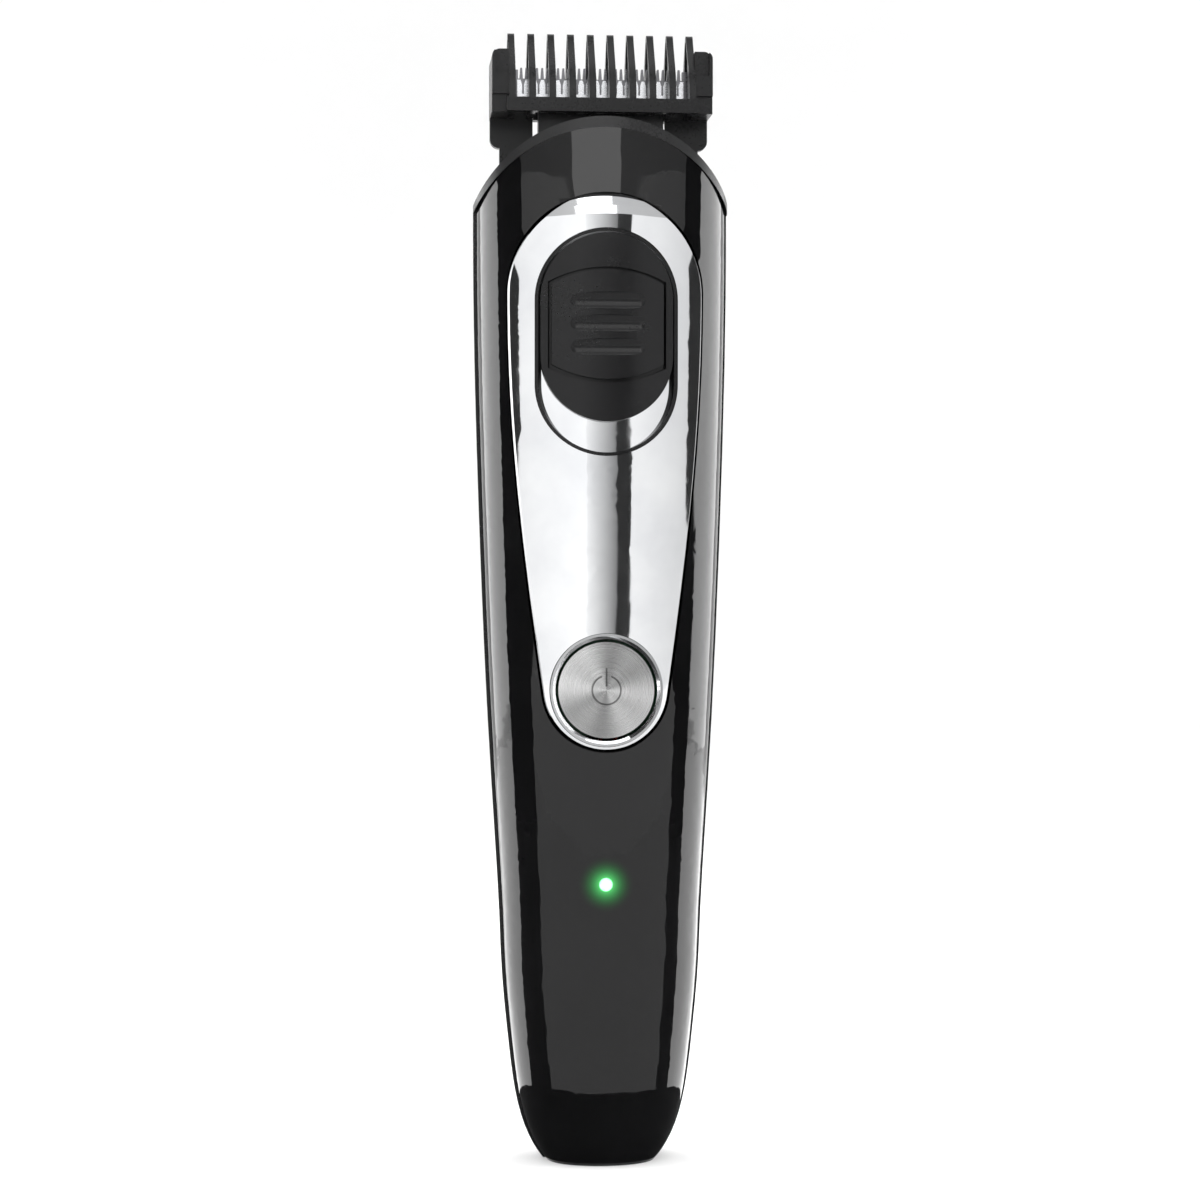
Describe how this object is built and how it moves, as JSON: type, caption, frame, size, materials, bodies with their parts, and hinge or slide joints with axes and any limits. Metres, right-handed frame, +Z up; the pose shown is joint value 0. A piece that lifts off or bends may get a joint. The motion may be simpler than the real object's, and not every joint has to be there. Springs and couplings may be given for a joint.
{
  "type": "beard trimmer",
  "caption": "Cordless beard trimmer with a clip-on guide comb, fine steel blades, a length slider, a round power button and a status light on a slim black body.",
  "frame": {"origin": "bottom centre, on the flat base the trimmer stands on", "axes": "+Z up along the body towards the blades, -Y out of the front face with the slider and button, +X to the right seen from the front"},
  "size_m": [0.04, 0.0295, 0.1766],
  "materials": {
    "gloss_black": "high gloss moulded plastic",
    "satin_black": "satin moulded plastic",
    "grip_rubber": "soft ribbed rubber",
    "collar_grey": "satin dark grey plastic",
    "chrome": "mirror chrome plating",
    "slider_black": "satin black plastic",
    "spun_aluminium": "spun aluminium",
    "status_light": "lit green lens",
    "comb_black": "moulded black plastic",
    "inner_plastic": "moulded plastic",
    "white_plastic": "acetal plastic",
    "steel": "plain steel",
    "blade_steel": "ground blade steel",
    "brass": "turned brass",
    "nickel": "nickel strip",
    "board_green": "circuit board lacquer",
    "cell_wrap": "shrink wrap",
    "lead_jacket": "lead insulation"
  },
  "bodies": {
    "housing": {"battery_cell": "cell_wrap", "button_ring": "chrome", "capacitor": "cell_wrap", "cartridge_body": "inner_plastic", "cartridge_cover": "comb_black", "cartridge_screw_1": "steel", "cartridge_screw_2": "steel", "case_screw_1": "steel", "case_screw_2": "steel", "cell_lead": "lead_jacket", "cell_strap": "nickel", "cell_tab_plus": "nickel", "charge_chip": "inner_plastic", "charge_lead_1": "lead_jacket", "charge_lead_2": "lead_jacket", "chrome_trim": "chrome", "circuit_board": "board_green", "fixed_blade": "blade_steel", "front_shell": "gloss_black", "inner_chassis": "inner_plastic", "light_board": "board_green", "light_chip": "white_plastic", "light_lead_1": "lead_jacket", "light_lead_2": "lead_jacket", "light_lens": "status_light", "motor_can": "steel", "motor_damper_1": "grip_rubber", "motor_damper_2": "grip_rubber", "motor_driver": "inner_plastic", "motor_end_cap": "white_plastic", "motor_lead_1": "lead_jacket", "motor_lead_2": "lead_jacket", "motor_terminal_1": "brass", "motor_terminal_2": "brass", "push_switch": "inner_plastic", "rear_grip": "grip_rubber", "rear_shell": "satin_black", "slider_track": "chrome", "slot_liner": "slider_black", "socket_board": "board_green", "socket_shell": "nickel", "socket_tongue": "inner_plastic", "top_collar": "collar_grey"},
    "carriage": {"length_slider": "slider_black", "slider_pad": "slider_black", "comb_carriage": "inner_plastic", "carriage_screw": "steel", "detent_rack": "steel"},
    "comb": {"guide_comb": "comb_black"},
    "button": {"power_button": "spun_aluminium"},
    "rotor": {"motor_shaft": "steel", "eccentric": "brass", "drive_pin": "steel"},
    "cutter": {"moving_cutter": "blade_steel", "cutter_yoke": "white_plastic", "yoke_rivet_1": "steel", "yoke_rivet_2": "steel"}
  },
  "joints": [
    {"name": "length_slide", "type": "slide", "parent": "housing", "child": "carriage", "axis": [0, 0, 1], "range_m": [-0.0041, 0]},
    {"name": "comb_lift", "type": "slide", "parent": "carriage", "child": "comb", "axis": [0, 0, 1], "range_m": [0, 0.028]},
    {"name": "button_press", "type": "slide", "parent": "housing", "child": "button", "axis": [0, 1, 0], "range_m": [0, 0.0008], "stiffness_N_per_m": 900},
    {"name": "motor_spin", "type": "hinge", "parent": "housing", "child": "rotor", "pos_m": [0, 0.0005, 0.12], "axis": [0, 0, 1], "continuous": true},
    {"name": "cutter_slide", "type": "slide", "parent": "housing", "child": "cutter", "axis": [1, 0, 0], "range_m": [-0.0007, 0.0007]}
  ]
}
